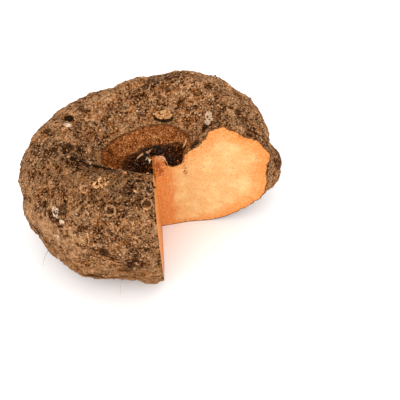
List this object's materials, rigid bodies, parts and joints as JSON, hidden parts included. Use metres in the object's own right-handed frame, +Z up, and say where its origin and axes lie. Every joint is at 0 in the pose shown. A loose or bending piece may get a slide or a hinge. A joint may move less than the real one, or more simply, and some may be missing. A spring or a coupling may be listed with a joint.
{
  "type": "elephant foot yam",
  "caption": "Squat rough brown corm with a pit on top and one quarter cut out, showing orange flesh; it rests on a small flat foot.",
  "frame": {"origin": "middle of the flat foot, on the surface that the corm rests on", "axes": "+Z up through the pit; +X along the corm's longest side, with the missing quarter between +X and -Y"},
  "size_m": [0.1579, 0.138, 0.0816],
  "materials": {
    "skin": "dry corky brown skin with root scars, not leather; the cut faces are moist matte orange flesh"
  },
  "bodies": {
    "root": {"corm": "skin"}
  },
  "joints": []
}
